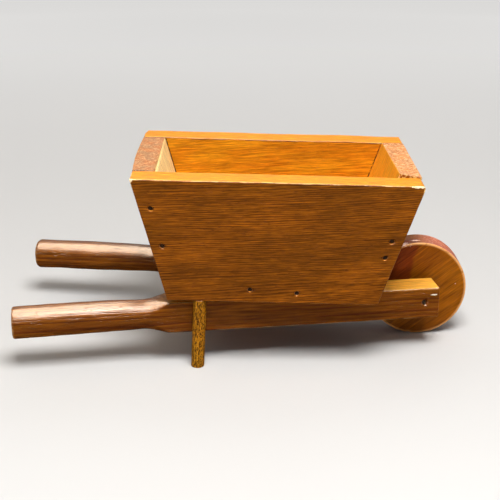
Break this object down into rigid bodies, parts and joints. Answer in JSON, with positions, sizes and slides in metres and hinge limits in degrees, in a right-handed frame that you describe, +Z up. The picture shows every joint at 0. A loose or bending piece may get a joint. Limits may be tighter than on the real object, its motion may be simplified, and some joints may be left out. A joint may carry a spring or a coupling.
{
  "type": "wooden wheelbarrow",
  "caption": "Small varnished wooden wheelbarrow with a tapered open tray on whittled handle rails, a solid disc wheel that turns on nails, and dowel legs.",
  "frame": {"origin": "on the ground, in the middle of the outline seen from above", "axes": "+X towards the wheel, +Y to the left of someone at the handles, +Z up"},
  "size_m": [0.2828, 0.1352, 0.1169],
  "materials": {
    "side_board_wood": "gloss varnish",
    "end_board_wood": "gloss varnish",
    "floor_board_wood": "gloss varnish",
    "rail_wood": "gloss varnish",
    "leg_wood": "satin varnish",
    "wheel_wood": "gloss varnish",
    "axle_steel": "dull",
    "brad_steel": "dull"
  },
  "bodies": {
    "barrow": {"right_side_board": "side_board_wood", "left_side_board": "side_board_wood", "rear_end_board": "end_board_wood", "front_end_board": "end_board_wood", "floor_board": "floor_board_wood", "right_rail": "rail_wood", "left_rail": "rail_wood", "right_leg": "leg_wood", "left_leg": "leg_wood", "right_axle_nail": "axle_steel", "left_axle_nail": "axle_steel", "right_rear_brad_top": "brad_steel", "right_rear_brad_low": "brad_steel", "right_front_brad_top": "brad_steel", "right_front_brad_low": "brad_steel", "right_floor_brad_rear": "brad_steel", "right_floor_brad_front": "brad_steel", "left_rear_brad_top": "brad_steel", "left_rear_brad_low": "brad_steel", "left_front_brad_top": "brad_steel", "left_front_brad_low": "brad_steel", "left_floor_brad_rear": "brad_steel", "left_floor_brad_front": "brad_steel", "right_rail_nail_rear": "brad_steel", "right_rail_nail_front": "brad_steel", "left_rail_nail_rear": "brad_steel", "left_rail_nail_front": "brad_steel"},
    "wheel": {"wheel": "wheel_wood"}
  },
  "joints": [
    {"name": "wheel_spin", "type": "hinge", "parent": "barrow", "child": "wheel", "pos_m": [0.11069, 0, 0.0307], "axis": [0, 1, 0], "continuous": true}
  ]
}
